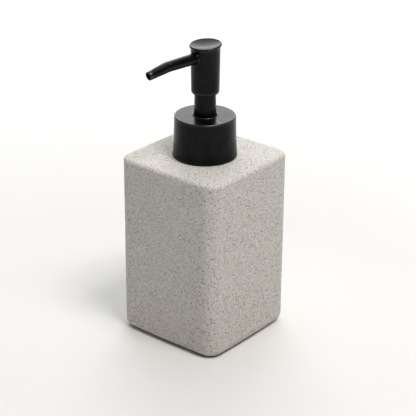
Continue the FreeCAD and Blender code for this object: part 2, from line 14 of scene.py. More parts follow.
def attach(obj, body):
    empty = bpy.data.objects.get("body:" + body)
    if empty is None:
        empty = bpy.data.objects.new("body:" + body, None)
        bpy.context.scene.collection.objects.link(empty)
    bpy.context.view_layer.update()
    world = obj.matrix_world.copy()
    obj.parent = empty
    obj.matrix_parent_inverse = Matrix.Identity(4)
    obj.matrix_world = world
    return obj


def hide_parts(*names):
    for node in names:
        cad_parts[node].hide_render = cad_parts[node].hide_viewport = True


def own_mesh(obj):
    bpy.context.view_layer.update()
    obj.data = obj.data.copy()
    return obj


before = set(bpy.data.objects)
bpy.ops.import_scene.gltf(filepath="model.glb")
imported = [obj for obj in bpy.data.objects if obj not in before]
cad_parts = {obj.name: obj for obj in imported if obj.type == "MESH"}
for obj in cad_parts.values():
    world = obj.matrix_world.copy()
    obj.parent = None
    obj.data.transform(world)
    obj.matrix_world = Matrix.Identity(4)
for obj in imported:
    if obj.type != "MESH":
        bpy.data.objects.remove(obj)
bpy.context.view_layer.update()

MM = 0.001
TURN = 2 * math.pi
LATHE_SEGMENTS = 144
SHARP_ANGLE = math.radians(32)  # edges of the kept CAD nodes that stay sharp

# ---- Bottle and base pad ---------------------------------------------------------------
PAD_DROP = 0.25             # how far the base pad stands below the bottle
BOTTLE_HALF = 35.0
BOTTLE_BOW = 0.7            # how far each side bows outwards
BOTTLE_CORNER = 9.0
BOTTLE_TOP = 105.5
TOP_EDGE = 2.2
BOTTOM_EDGE = 5.0
WALL = 6.0
CAVITY_FLOOR = 6.85
CAVITY_ROOF = 98.5
CAVITY_EDGE = 3.0
CAVITY_CORNER = 5.0
MOUTH_R = 14.0
MOUTH_EASING = [(0.6, 0.0), (0.3, 0.08), (0.08, 0.3), (0.0, 0.6)]   # outwards, and down
PAD_HALF = 28.0
PAD_CORNER = 4.5
PAD_THICK = 1.4
PAD_LOW_EDGE = 0.3
PAD_TOP_EDGE = 0.15
PAD_CLEARANCE = 0.25
PAD_RECESS_Z = 1.42
SIDE_STEPS = 64             # mesh steps along one side of the bottle
CORNER_STEPS = 28
ROW_HEIGHT = 1.2
GRAIN_DEPTH = 0.05          # how rough the cast surface is
WAVE_DEPTH = 0.10           # how uneven it is over a few centimetres

# ---- Collar, sleeve, head and the disc on it -------------------------------------------
COLLAR_BOTTOM = 105.7
COLLAR_TOP = 129.0
COLLAR_FOOT_R = 18.05
COLLAR_SIDE = [(18.05, 106.2), (17.82, 108.2), (17.62, 111.4), (17.36, 117.4), (17.2, 122.0), (17.1, 127.3)]
COLLAR_SHOULDER_R = 17.09
COLLAR_SHOULDER_EDGE = 1.4
COLLAR_DECK = 1.8           # thickness of its top
COLLAR_BORE_R = 15.62
COLLAR_HOLE_R = 6.6
COLLAR_BEAD_R = 7.3         # outside of the bead round the hole
COLLAR_BEAD_RISE = 0.35
COLLAR_SEGMENTS = 192
SLEEVE_BOTTOM = 118.0
SLEEVE_FLOOR = 119.6
SLEEVE_PLUG_R = 5.95        # of the part below its flange
SLEEVE_FLANGE = [(9.0, 121.51, 0.1), (9.0, 123.4, 0.4), (7.9, 123.45), (7.15, 124.3), (6.5, 125.4),
                 (6.3, 126.6)]
SLEEVE_SIDE = [(6.3, 129.1), (6.2, 130.6), (6.07, 133.6), (5.96, 138.5), (5.91, 145.2)]
SLEEVE_TOP = 146.0
SLEEVE_TOP_R = 5.91
SLEEVE_BORE_R = 4.75
STEM_HOLE_R = 3.53
HEAD_BOTTOM = 141.7
HEAD_SIDE = [(7.76, 143.2), (7.92, 152.0), (8.08, 165.0)]
HEAD_FOOT_CHAMFER = (0.15, 0.6)     # inside its lower edge: outwards, and up
HEAD_FOOT_EDGE = (1.11, 1.5)        # how far that edge is rounded outside: outwards, and up
HEAD_TOP_R = 8.1
HEAD_BORE_R = 6.5
HEAD_SEAT_R = 6.9
HEAD_SEAT_Z = 158.58
DISC_RIM_Z = 169.6
DISC_TILT = math.radians(4.8)
DISC_FLANGE = 1.25
DISC_DISH_R = 8.0
DISC_DISH_DEPTH = 1.13
DISC_SPIGOT_R = 6.55
DISC_SPIGOT_BORE_R = 5.75
DISC_SPIGOT_DEPTH = 3.4
DISC_PLATE = 2.3
DISC_RIM = [(8.0, -0.12), (8.2, -0.02), (8.4, -0.02), (8.62, -0.2), (8.81, -0.42), (8.87, -0.65),
            (8.76, -0.96), (8.5, -1.2), (8.37, -1.25)]

# ---- Spout -----------------------------------------------------------------------------
SPOUT_AZIMUTH = math.radians(-98.3)
SPOUT_Z = 163.05
SPOUT_FALL = math.radians(0.9)
SPOUT_TIP_FALL = math.radians(9.7)
SPOUT_BEND_X = 27.1
SPOUT_BEND_R = 24.0
SPOUT_TIP_LENGTH = 13.4
SPOUT_INNER_END = 3.55      # from the head's axis
SPOUT_SPIGOT = (6.95, 1.9)  # where it meets the head's wall, and its radius inside that
SPOUT_FLARE = [(6.95, 3.4), (7.0, 3.45), (7.55, 3.45), (7.75, 3.4), (8.15, 3.22), (8.7, 3.13)]
SPOUT_NECK = (9.35, 3.08)
SPOUT_BEND_TUBE_R = 2.9
SPOUT_TIP_R = 2.4
SPOUT_LIP = [(0.2, 2.41), (0.07, 2.37), (0.0, 2.26), (0.0, 1.87), (0.06, 1.78)]    # back from the tip
SPOUT_BORE_RS = (1.35, 1.5, 1.75)   # at its inner end, at the bend and at the tip
SPOUT_SIDES = 72

# ---- Return spring ---------------------------------------------------------------------
SPRING_BOTTOM = 85.88
SPRING_TOP = 106.5
SPRING_R = 3.2
SPRING_TURNS = 8
WIRE_R = 0.4
WIRE_SIDES = 14
WIRE_GAP = 0.02             # between the wire and the part that it bears on

# ---- Camera, found from the photo ------------------------------------------------------
CAMERA_AZIMUTH = math.radians(39.157)
CAMERA_HEIGHT = math.radians(24.446)
CAMERA_DISTANCE = 815.65
CAMERA_AIM = (1.94, 72.61)      # to the right of the axis, and up it
CAMERA_ROLL = 0.007
CAMERA_LENS = 124.78
SENSOR = 36.0

# ---- Studio, in metres -----------------------------------------------------------------
FLOOR_REACH = 4.0
FLOOR_STEPS = 8
LIGHT_AIM_HEIGHT = 0.08
ROOM_LIGHT = (0.03, 0.8)    # on the camera's side, and behind the object
ROOM_LIGHT_SIDE = (180, 5)  # azimuth and elevation of the brightest part, as for the lights below

# Name, azimuth and elevation in degrees, distance, width, height, radiance and colour. The azimuth
# is 0 on the camera's side and 90 at its right.
LIGHTS = [
    ("overhead", 20, 84, 1.9, 2.0, 2.0, 1.3, (0.95, 0.995, 1.01)),
    ("back", 180, 24, 2.4, 2.2, 1.1, 2.6, (0.98, 1.0, 1.01)),
    ("back high", 180, 47, 2.4, 1.2, 0.8, 2.3, (0.98, 1.0, 1.01)),
    ("key", 42, 64, 1.8, 0.6, 0.6, 17.5, (1.0, 0.967, 0.945)),
]


# ---- Outlines --------------------------------------------------------------------------
def eased(points):
    """Points of an outline, with each corner that gives a radius as its third number rounded."""
    result = []
    for i, point in enumerate(points):
        here = Vector(point[:2])
        if len(point) < 3:
            result.append(here)
            continue
        before = Vector(points[i - 1][:2]) - here
        after = Vector(points[(i + 1) % len(points)][:2]) - here
        half = before.angle(after) / 2
        setback = min(point[2] / math.tan(half), 0.48 * before.length, 0.48 * after.length)
        radius = setback * math.tan(half)
        middle = (before.normalized() + after.normalized()).normalized()
        centre = here + middle * (radius / math.sin(half))
        first = here + before.normalized() * setback - centre
        last = here + after.normalized() * setback - centre
        sweep = first.angle_signed(last)
        steps = max(3, math.ceil(abs(sweep) / math.radians(14)))
        for k in range(steps + 1):
            turn = Matrix.Rotation(-sweep * k / steps, 2)
            result.append(centre + turn @ first)
    return result


def curved(points, steps=6):
    """Smooth run through points, as a Catmull-Rom curve."""
    ends = [2 * Vector(points[0]) - Vector(points[1])]
    ends += [Vector(p) for p in points]
    ends.append(2 * Vector(points[-1]) - Vector(points[-2]))
    result = []
    for a, b, c, d in zip(ends, ends[1:], ends[2:], ends[3:]):
        for k in range(steps):
            t = k / steps
            result.append(0.5 * (2 * b + (c - a) * t + (2 * a - 5 * b + 4 * c - d) * t ** 2
                                 + (3 * b - 3 * c + d - a) * t ** 3))
    result.append(ends[-2])
    return [tuple(p) for p in result]


def bowed_square(half, bow, corner):
    """Points of a square with round corners and sides that bow outwards."""
    chord = half - bow
    side_r = (chord * chord + bow * bow) / (2 * bow)
    shift = half - side_r
    reach = side_r - corner
    c = (shift + math.sqrt(shift * shift - 2 * (shift * shift - reach * reach))) / 2
    turn = math.atan2(c, c - shift)
    quarter = []
    for k in range(SIDE_STEPS):
        angle = turn * (2 * k / SIDE_STEPS - 1)
        quarter.append(Vector((shift + side_r * math.cos(angle), side_r * math.sin(angle))))
    for k in range(CORNER_STEPS):
        angle = turn + (math.pi / 2 - 2 * turn) * k / CORNER_STEPS
        quarter.append(Vector((c + corner * math.cos(angle), c + corner * math.sin(angle))))
    return [Matrix.Rotation(i * math.pi / 2, 2) @ p for i in range(4) for p in quarter]


# ---- Meshes ----------------------------------------------------------------------------
def skinned(name, rings, closed=False):
    """Object whose mesh joins rings of points in millimetres. A ring of one point is a pole."""
    points = []
    starts = []
    for ring in rings:
        starts.append(len(points))
        points += [Vector(p) * MM for p in ring]
    faces = []
    pairs = list(zip(range(len(rings) - 1), range(1, len(rings))))
    if closed:
        pairs.append((len(rings) - 1, 0))
    for a, b in pairs:
        count = max(len(rings[a]), len(rings[b]))
        for k in range(count):
            corners = []
            for ring, step in ((a, k), (a, k + 1), (b, k + 1), (b, k)):
                corner = starts[ring] + (step % count if len(rings[ring]) > 1 else 0)
                if corner not in corners:
                    corners.append(corner)
            faces.append(corners)
    mesh = bpy.data.meshes.new(name)
    mesh.from_pydata(points, [], faces)
    work = bmesh.new()
    work.from_mesh(mesh)
    bmesh.ops.recalc_face_normals(work, faces=work.faces)
    work.to_mesh(mesh)
    work.free()
    piece = bpy.data.objects.new(name, mesh)
    bpy.context.scene.collection.objects.link(piece)
    smooth(piece)
    return piece


def smooth(piece):
    """Smooth shading, with normals that follow the large faces."""
    for face in piece.data.polygons:
        face.use_smooth = True
    weighted = piece.modifiers.new("weighted normals", "WEIGHTED_NORMAL")
    weighted.weight = 75


def circle(radius, height, segments):
    if radius == 0:
        return [Vector((0, 0, height))]
    return [Vector((radius * math.cos(TURN * k / segments), radius * math.sin(TURN * k / segments), height))
            for k in range(segments)]


def lathed(name, outline, segments=LATHE_SEGMENTS):
    """Object turned about Z from an outline of (radius, height)."""
    closed = outline[0][0] > 0
    return skinned(name, [circle(r, z, segments) for r, z in outline], closed)


# ---- Bottle pieces ---------------------------------------------------------------------
def offset_square(half, corner, inset, height):
    return [Vector((p.x, p.y, height)) for p in bowed_square(half - inset, BOTTLE_BOW, corner - inset)]


def edge_run(half, corner, radius, height, sign, inward=False):
    """Rings round a rounded edge between a wall and a level face. Sign is 1 for a top edge."""
    rings = []
    steps = 9
    for k in range(steps + 1):
        angle = math.pi / 2 * k / steps
        inset = radius * (1 - math.cos(angle))
        level = height - sign * radius * (1 - math.sin(angle))
        rings.append(offset_square(half, corner, inset, level))
    return rings[::-1] if inward else rings


def between(first, last, steps):
    """Rings from one ring to another, both left out."""
    return [[a.lerp(b, k / steps) for a, b in zip(first, last)] for k in range(1, steps)]


def round_ring(radius, height, like):
    """Circle whose points lie in the same directions as those of another ring."""
    return [Vector((p.x, p.y, 0)).normalized() * radius + Vector((0, 0, height)) for p in like]


def bottle_rings():
    """Rings from the recess in the underside, round the outside, through the mouth, to the cavity's floor."""
    recess_half = PAD_HALF + PAD_CLEARANCE
    recess_corner = PAD_CORNER + PAD_CLEARANCE
    recess_top = offset_square(recess_half, recess_corner, 0, PAD_RECESS_Z)
    recess_lip = offset_square(recess_half, recess_corner, 0, PAD_DROP)
    outer = (BOTTLE_HALF, BOTTLE_CORNER)
    bottom_edge = edge_run(*outer, BOTTOM_EDGE, PAD_DROP, -1, inward=True)
    top_edge = edge_run(*outer, TOP_EDGE, BOTTLE_TOP, 1)
    mouth = round_ring(MOUTH_R, BOTTLE_TOP, recess_lip)
    mouth_rim = [round_ring(MOUTH_R + out, BOTTLE_TOP - drop, recess_lip) for out, drop in MOUTH_EASING]
    roof_rim = round_ring(MOUTH_R, CAVITY_ROOF, recess_lip)
    inner = (BOTTLE_HALF - WALL, CAVITY_CORNER)
    roof_edge = edge_run(*inner, CAVITY_EDGE, CAVITY_ROOF, 1, inward=True)
    floor_edge = edge_run(*inner, CAVITY_EDGE, CAVITY_FLOOR, -1)
    rows = round((BOTTLE_TOP - TOP_EDGE - PAD_DROP - BOTTOM_EDGE) / ROW_HEIGHT)
    rings = [[Vector((0, 0, PAD_RECESS_Z))]]
    rings += between([Vector((0, 0, PAD_RECESS_Z))] * len(recess_top), recess_top, 5)
    rings += [recess_top, recess_lip]
    rings += between(recess_lip, bottom_edge[0], 3)
    rings += bottom_edge
    rings += between(bottom_edge[-1], top_edge[0], rows)
    rings += top_edge
    rings += between(top_edge[-1], mouth, 20)
    rings += mouth_rim
    rings += between(mouth_rim[-1], roof_rim, 4)
    rings.append(roof_rim)
    rings += between(roof_rim, roof_edge[0], 6)
    rings += roof_edge
    rings += between(roof_edge[-1], floor_edge[0], 20)
    rings += floor_edge
    rings += between(floor_edge[-1], [Vector((0, 0, CAVITY_FLOOR))] * len(recess_top), 6)
    rings.append([Vector((0, 0, CAVITY_FLOOR))])
    return rings


def roughened(piece, grain, wave):
    """Sink the surface here and there, as a cast stone mix leaves it. Nothing stands proud."""
    work = bmesh.new()
    work.from_mesh(piece.data)
    work.normal_update()
    sunk = []
    for vertex in work.verts:
        place = vertex.co / MM
        fine = 0.5 + 0.5 * noise.noise(place / 1.9) + 0.35 * noise.noise(place / 0.8)
        broad = 0.5 + 0.5 * noise.noise(place / 26.0)
        sunk.append(vertex.normal * -(grain * max(fine, 0) + wave * broad) * MM)
    for vertex, shift in zip(work.verts, sunk):
        vertex.co += shift
    work.to_mesh(piece.data)
    work.free()


def make_bottle():
    piece = skinned("stone_bottle", bottle_rings())
    roughened(piece, GRAIN_DEPTH, WAVE_DEPTH)
    return piece


def make_base_pad():
    underside = edge_run(PAD_HALF, PAD_CORNER, PAD_LOW_EDGE, 0.0, -1, inward=True)
    top_edge = edge_run(PAD_HALF, PAD_CORNER, PAD_TOP_EDGE, PAD_THICK, 1)
    rings = [[Vector((0, 0, 0))]]
    rings += between([Vector((0, 0, 0))] * len(underside[0]), underside[0], 5)
    rings += underside + top_edge
    rings.append([Vector((0, 0, PAD_THICK))])
    return skinned("base_foam_pad", rings)


# ---- Pump pieces -----------------------------------------------------------------------
def make_collar():
    """Outer cover of the closure, wider at its foot, with a bead round the hole in its top."""
    outline = [(COLLAR_BORE_R, COLLAR_BOTTOM, 0.1), (COLLAR_FOOT_R, COLLAR_BOTTOM, 0.3)]
    outline += curved(COLLAR_SIDE)
    outline += [
        (COLLAR_SHOULDER_R, COLLAR_TOP, COLLAR_SHOULDER_EDGE),
        (COLLAR_BEAD_R + 0.35, COLLAR_TOP),
        (COLLAR_BEAD_R + 0.1, COLLAR_TOP + 0.03),
    ]
    bead_half = (COLLAR_BEAD_R - COLLAR_HOLE_R) / 2
    for k in range(1, 11):
        angle = math.pi * k / 10
        outline.append((COLLAR_HOLE_R + bead_half * (1 + math.cos(angle)),
                        COLLAR_TOP + COLLAR_BEAD_RISE * math.sin(angle)))
    outline += [
        (COLLAR_HOLE_R, COLLAR_TOP - COLLAR_DECK, 0.1),
        (COLLAR_BORE_R - 0.8, COLLAR_TOP - COLLAR_DECK),
        (COLLAR_BORE_R, COLLAR_TOP - COLLAR_DECK - 0.8),
    ]
    return lathed("collar_cover", eased(outline), COLLAR_SEGMENTS)


def make_sleeve():
    """Retainer in the pump, with the tube that the head slides over."""
    outline = [
        (STEM_HOLE_R, SLEEVE_BOTTOM, 0.1),
        (SLEEVE_PLUG_R, SLEEVE_BOTTOM, 0.1),
        (SLEEVE_PLUG_R, SLEEVE_FLANGE[0][1]),
    ]
    outline += SLEEVE_FLANGE + curved(SLEEVE_SIDE)
    outline += [
        (SLEEVE_TOP_R, SLEEVE_TOP, 0.45),
        (SLEEVE_BORE_R, SLEEVE_TOP, 0.2),
        (SLEEVE_BORE_R, SLEEVE_FLOOR),
        (STEM_HOLE_R, SLEEVE_FLOOR, 0.1),
    ]
    return lathed("guide_tube", eased(outline))


def slant_height(point):
    """Height of the head's slanting top edge, just under the thumb pad's flange, at a point."""
    towards_spout = point.x * math.cos(SPOUT_AZIMUTH) + point.y * math.sin(SPOUT_AZIMUTH)
    return DISC_RIM_Z - (DISC_FLANGE + 0.02 + math.sin(DISC_TILT) * towards_spout) / math.cos(DISC_TILT)


def make_head_cover():
    """Tapered cover over the sleeve, cut on a slant under the thumb pad."""
    chamfer_out, chamfer_up = HEAD_FOOT_CHAMFER
    edge_out, edge_up = HEAD_FOOT_EDGE
    lip_r = HEAD_BORE_R + chamfer_out
    foot = [(HEAD_BORE_R, HEAD_BOTTOM + chamfer_up), (lip_r, HEAD_BOTTOM)]
    for k in range(1, 8):
        angle = math.pi / 2 * k / 7
        foot.append((lip_r + edge_out * math.sin(angle) ** 1.2,
                     HEAD_BOTTOM + edge_up * (1 - math.cos(angle))))
    rings = [circle(r, z, LATHE_SEGMENTS) for r, z in foot + curved(HEAD_SIDE, 10)[1:]]
    slant_edge = [(HEAD_TOP_R, 0.3), (HEAD_TOP_R, 0.1), (HEAD_TOP_R - 0.03, 0.03), (HEAD_TOP_R - 0.1, 0.0),
                  (HEAD_SEAT_R, 0.0)]
    for radius, drop in slant_edge:
        level = circle(radius, 0, LATHE_SEGMENTS)
        rings.append([Vector((p.x, p.y, slant_height(p) - drop)) for p in level])
    rings.append(circle(HEAD_SEAT_R, HEAD_SEAT_Z, LATHE_SEGMENTS))
    rings.append(circle(HEAD_BORE_R, HEAD_SEAT_Z, LATHE_SEGMENTS))
    return skinned("head_cover", rings, closed=True)


def make_thumb_pad():
    """Dished disc, tilted to the spout."""
    dish = [(DISC_DISH_R * k / 12, -DISC_FLANGE + DISC_DISH_DEPTH * (k / 12) ** 1.9) for k in range(13)]
    rim = curved(DISC_RIM, 4)[1:]
    underside = [
        (DISC_SPIGOT_R, -DISC_FLANGE),
        (DISC_SPIGOT_R, -DISC_SPIGOT_DEPTH),
        (DISC_SPIGOT_BORE_R, -DISC_SPIGOT_DEPTH),
        (DISC_SPIGOT_BORE_R, -DISC_PLATE),
        (0, -DISC_PLATE),
    ]
    piece = lathed("thumb_disc", dish + rim + underside)
    place = (Matrix.Translation((0, 0, DISC_RIM_Z * MM)) @ Matrix.Rotation(SPOUT_AZIMUTH, 4, "Z")
             @ Matrix.Rotation(DISC_TILT, 4, "Y"))
    piece.data.transform(place)
    return piece


def spout_lengths():
    """Lengths along the spout's centre line: the straight part, the bend, and the whole."""
    setback = SPOUT_BEND_R * math.tan((SPOUT_TIP_FALL - SPOUT_FALL) / 2)
    straight = SPOUT_BEND_X / math.cos(SPOUT_FALL) - setback
    bend = SPOUT_BEND_R * (SPOUT_TIP_FALL - SPOUT_FALL)
    return straight, bend, straight + bend + SPOUT_TIP_LENGTH - setback


def run(first, last, steps):
    """Points from one (along, radius) to another, the first left out."""
    return [tuple(a + (b - a) * k / steps for a, b in zip(first, last)) for k in range(1, steps + 1)]


def spout_profile():
    """Outside, lip and bore of the spout, as (along, radius)."""
    straight, bend, tip = spout_lengths()
    inner_r, bend_r, mouth_r = SPOUT_BORE_RS
    at_wall, spigot_r = SPOUT_SPIGOT
    points = [(SPOUT_INNER_END, spigot_r), (at_wall, spigot_r)] + SPOUT_FLARE + [SPOUT_NECK]
    points += run(SPOUT_NECK, (straight, SPOUT_BEND_TUBE_R), 8)
    points += run((straight, SPOUT_BEND_TUBE_R), (straight + bend, SPOUT_BEND_TUBE_R), 6)
    points += run((straight + bend, SPOUT_BEND_TUBE_R), (tip, SPOUT_TIP_R), 6)[:-1]
    points += [(tip - back, radius) for back, radius in SPOUT_LIP]
    points.append((tip - 0.2, mouth_r))
    points += run((tip, mouth_r), (straight, bend_r), 6)
    points += run((straight, bend_r), (SPOUT_INNER_END, inner_r), 4)
    return points


def spout_line(along):
    """Point of the spout's centre line and its direction, in the plane through the spout.
    Along is the distance from the head's axis."""
    straight, bend, _ = spout_lengths()
    turned = min(max(along - straight, 0), bend) / SPOUT_BEND_R
    fall = SPOUT_FALL + turned
    point = Vector((0, SPOUT_Z))
    point += Vector((math.cos(SPOUT_FALL), -math.sin(SPOUT_FALL))) * min(along, straight)
    centre = point - Vector((math.sin(SPOUT_FALL), math.cos(SPOUT_FALL))) * SPOUT_BEND_R
    if along > straight:
        point = centre + Vector((math.sin(fall), math.cos(fall))) * SPOUT_BEND_R
    if along > straight + bend:
        point += Vector((math.cos(fall), -math.sin(fall))) * (along - straight - bend)
    return point, Vector((math.cos(fall), -math.sin(fall)))


def make_spout():
    """Tapered tube with a flared root, open at the tip."""
    rings = []
    for along, radius in spout_profile():
        point, ahead = spout_line(along)
        up = Vector((-ahead.y, ahead.x))
        ring = []
        for k in range(SPOUT_SIDES):
            angle = TURN * k / SPOUT_SIDES
            lifted = point + up * (radius * math.cos(angle))
            place = Vector((lifted.x, radius * math.sin(angle), lifted.y))
            ring.append(Matrix.Rotation(SPOUT_AZIMUTH, 3, "Z") @ place)
        rings.append(ring)
    return skinned("spout_tube", rings, closed=True)


def make_spring():
    """Coil spring between its seat and the stem plug."""
    low = SPRING_BOTTOM + WIRE_R + WIRE_GAP
    high = SPRING_TOP - WIRE_R - WIRE_GAP
    steps = 40 * SPRING_TURNS
    rings = [[Vector((SPRING_R, 0, low))]]
    for k in range(steps + 1):
        angle = TURN * SPRING_TURNS * k / steps
        out = Vector((math.cos(angle), math.sin(angle), 0))
        height = low + (high - low) * k / steps
        ring = []
        for side in range(WIRE_SIDES):
            turn = TURN * side / WIRE_SIDES
            lift = Vector((0, 0, height + WIRE_R * math.sin(turn)))
            ring.append(out * (SPRING_R + WIRE_R * math.cos(turn)) + lift)
        rings.append(ring)
    rings.append([Vector((SPRING_R, 0, high))])
    return skinned("coil_spring", rings)


# ---- Materials -------------------------------------------------------------------------
class Look:
    """A material, with short ways to add and join its nodes. Patterns are placed in millimetres."""

    def __init__(self, name):
        self.material = bpy.data.materials.new(name)
        self.material.use_nodes = True
        self.tree = self.material.node_tree
        self.shader = self.tree.nodes["Principled BSDF"]
        coordinates = self.add("ShaderNodeTexCoord")
        scaled = self.add("ShaderNodeVectorMath", operation="SCALE")
        scaled.inputs["Scale"].default_value = 1 / MM
        self.join(coordinates.outputs["Object"], scaled.inputs[0])
        self.place = scaled.outputs[0]

    def add(self, kind, **settings):
        node = self.tree.nodes.new(kind)
        for key, value in settings.items():
            setattr(node, key, value)
        return node

    def join(self, source, target):
        self.tree.links.new(source, target)

    def noise(self, size, detail=2.0, roughness=0.5, stretch=None):
        """Noise whose lumps are about size millimetres across, from 0 to 1."""
        node = self.add("ShaderNodeTexNoise")
        node.inputs["Scale"].default_value = 1 / size
        node.inputs["Detail"].default_value = detail
        node.inputs["Roughness"].default_value = roughness
        place = self.place
        if stretch:
            mapping = self.add("ShaderNodeVectorMath", operation="MULTIPLY")
            mapping.inputs[1].default_value = stretch
            self.join(self.place, mapping.inputs[0])
            place = mapping.outputs[0]
        self.join(place, node.inputs["Vector"])
        return node.outputs["Fac"]

    def cells(self, size, wander=0.0):
        """Voronoi cells about size millimetres across, with wavy sides where wander is over 0: the distance
        from the cell's point, and two random numbers that the cell has."""
        place = self.place
        if wander:
            shift = self.add("ShaderNodeTexNoise")
            shift.inputs["Scale"].default_value = 1.4 / size
            self.join(self.place, shift.inputs["Vector"])
            scaled = self.add("ShaderNodeVectorMath", operation="MULTIPLY_ADD")
            scaled.inputs[1].default_value = (wander, wander, wander)
            self.join(shift.outputs["Color"], scaled.inputs[0])
            self.join(self.place, scaled.inputs[2])
            place = scaled.outputs[0]
        node = self.add("ShaderNodeTexVoronoi")
        node.inputs["Scale"].default_value = 1 / size
        self.join(place, node.inputs["Vector"])
        split = self.add("ShaderNodeSeparateColor")
        self.join(node.outputs["Color"], split.inputs[0])
        return node.outputs["Distance"], split.outputs[0], split.outputs[1]

    def math(self, operation, first, second):
        node = self.add("ShaderNodeMath", operation=operation)
        for socket, value in zip(node.inputs, (first, second)):
            if isinstance(value, (int, float)):
                socket.default_value = value
            else:
                self.join(value, socket)
        return node.outputs[0]

    def span(self, value, low, high, to_low, to_high):
        """Value from low to high, spread over to_low to to_high and held at the ends."""
        node = self.add("ShaderNodeMapRange")
        for socket, number in zip(node.inputs[1:5], (low, high, to_low, to_high)):
            socket.default_value = number
        self.join(value, node.inputs[0])
        return node.outputs[0]

    def mix(self, factor, first, second):
        """Colour between two colours, each a triple or a socket."""
        node = self.add("ShaderNodeMix", data_type="RGBA")
        self.join(factor, node.inputs["Factor"])
        for socket, value in zip(node.inputs[6:8], (first, second)):
            if isinstance(value, tuple):
                socket.default_value = (*value, 1)
            else:
                self.join(value, socket)
        return node.outputs[2]

    def bump(self, height, depth, strength=1.0):
        """Surface relief of depth millimetres."""
        node = self.add("ShaderNodeBump")
        node.inputs["Strength"].default_value = strength
        node.inputs["Distance"].default_value = depth * MM
        self.join(height, node.inputs["Height"])
        self.join(node.outputs[0], self.shader.inputs["Normal"])

    def set(self, **values):
        """Shader inputs, by name with _ for a space: numbers, colours or sockets."""
        for key, value in values.items():
            socket = self.shader.inputs[key.replace("_", " ")]
            if isinstance(value, (int, float)):
                socket.default_value = value
            elif isinstance(value, tuple):
                socket.default_value = (*value, 1)
            else:
                self.join(value, socket)


def speckled_stone():
    """Cast stone mix: pale warm grey, with fine light grains and dark specks, dry and matt."""
    look = Look("speckled_stone")
    cloud = look.noise(14.0, 3.0)
    colour = look.mix(cloud, (0.600, 0.577, 0.534), (0.640, 0.619, 0.576))
    _, grain, tint = look.cells(0.36, 0.1)
    colour = look.mix(look.span(grain, 0.70, 1.0, 0.0, 0.75), colour, (0.86, 0.84, 0.80))
    colour = look.mix(look.span(grain, 0.0, 0.30, 0.85, 0.0), colour, (0.25, 0.24, 0.228))
    colour = look.mix(look.span(tint, 0.86, 1.0, 0.0, 0.6), colour, (0.62, 0.45, 0.36))
    distance, chance, size = look.cells(1.1, 0.25)
    inside = look.math("LESS_THAN", distance, look.math("ADD", look.math("MULTIPLY", size, 0.19), 0.14))
    dark = look.math("MULTIPLY", inside, look.span(chance, 0.36, 0.60, 0.0, 0.94))
    colour = look.mix(dark, colour, (0.03, 0.03, 0.031))
    relief = look.math("ADD", look.noise(0.35, 2.0, 0.6), look.math("MULTIPLY", grain, 0.5))
    look.bump(relief, 0.06, 0.5)
    look.set(Base_Color=colour, Roughness=look.span(look.noise(1.1, 2.0), 0.3, 0.7, 0.72, 0.92),
             Specular_IOR_Level=0.3)
    return look.material


def satin_black():
    """Satin ABS: a faint moulded grain, smears that change its gloss, a painted highlight that lightens the
    colour of convex edges, which are also made glossier, a little dust.
    """
    look = Look("satin_black")
    smear = look.noise(6.0, 4.0, 0.65, (1, 1, 0.6))
    colour = look.mix(smear, (0.0022, 0.0022, 0.0024), (0.0048, 0.0048, 0.0050))
    distance, chance, _ = look.cells(2.6)
    speck = look.math("LESS_THAN", distance, 0.035)
    dust = look.math("MULTIPLY", speck, look.math("GREATER_THAN", chance, 0.72))
    colour = look.mix(look.math("MULTIPLY", dust, 0.35), colour, (0.25, 0.24, 0.23))
    # Mask of the convex edges, by pointiness: it carries a painted highlight in the colour and a raised
    # specular level.
    edge_highlight_and_gloss = look.span(look.add("ShaderNodeNewGeometry").outputs["Pointiness"], 0.506, 0.520, 0.0, 1.0)
    # Painted highlight: the convex edges get a lighter colour.
    colour = look.mix(look.math("MULTIPLY", edge_highlight_and_gloss, 0.5), colour, (0.022, 0.022, 0.023))
    gloss = look.math("ADD", look.span(smear, 0.3, 0.7, 0.075, 0.145), look.math("MULTIPLY", edge_highlight_and_gloss, 0.35))
    look.bump(look.noise(0.35, 3.0), 0.012, 0.5)
    look.set(Base_Color=colour, Roughness=look.span(smear, 0.3, 0.7, 0.20, 0.30), Specular_IOR_Level=gloss)
    return look.material


def moulded_black():
    """Plain black polypropylene of the hidden parts, matt from its mould."""
    look = Look("moulded_black")
    colour = look.mix(look.noise(4.0, 4.0), (0.010, 0.010, 0.011), (0.022, 0.022, 0.023))
    look.bump(look.noise(0.25, 3.0), 0.02, 0.6)
    look.set(Base_Color=colour, Roughness=look.span(look.noise(1.5, 3.0), 0.3, 0.7, 0.45, 0.62))
    return look.material


def natural_plastic():
    """Uncoloured polyethylene: milky, with flow marks from the mould."""
    look = Look("natural_plastic")
    flow = look.noise(5.0, 4.0, 0.6, (1, 1, 0.25))
    colour = look.mix(flow, (0.70, 0.71, 0.69), (0.83, 0.84, 0.82))
    look.bump(look.noise(0.5, 3.0), 0.02, 0.4)
    look.set(Base_Color=colour, Roughness=look.span(flow, 0.3, 0.7, 0.30, 0.48),
             Subsurface_Weight=0.35, Subsurface_Scale=0.002)
    return look.material


def seal_plastic():
    """Soft seal material, a little waxy."""
    look = Look("seal_plastic")
    colour = look.mix(look.noise(2.0, 3.0), (0.58, 0.60, 0.62), (0.68, 0.70, 0.71))
    look.bump(look.noise(0.3, 2.0), 0.01, 0.5)
    look.set(Base_Color=colour, Roughness=look.span(look.noise(0.9, 2.0), 0.3, 0.7, 0.5, 0.68))
    return look.material


def spring_steel():
    """Drawn stainless wire, with fine lines along it."""
    look = Look("spring_steel")
    lines = look.noise(0.12, 3.0, 0.6, (0.3, 0.3, 3.0))
    colour = look.mix(lines, (0.50, 0.50, 0.51), (0.66, 0.66, 0.67))
    look.bump(lines, 0.004, 0.6)
    look.set(Base_Color=colour, Metallic=1.0, Roughness=look.span(lines, 0.3, 0.7, 0.2, 0.34))
    return look.material


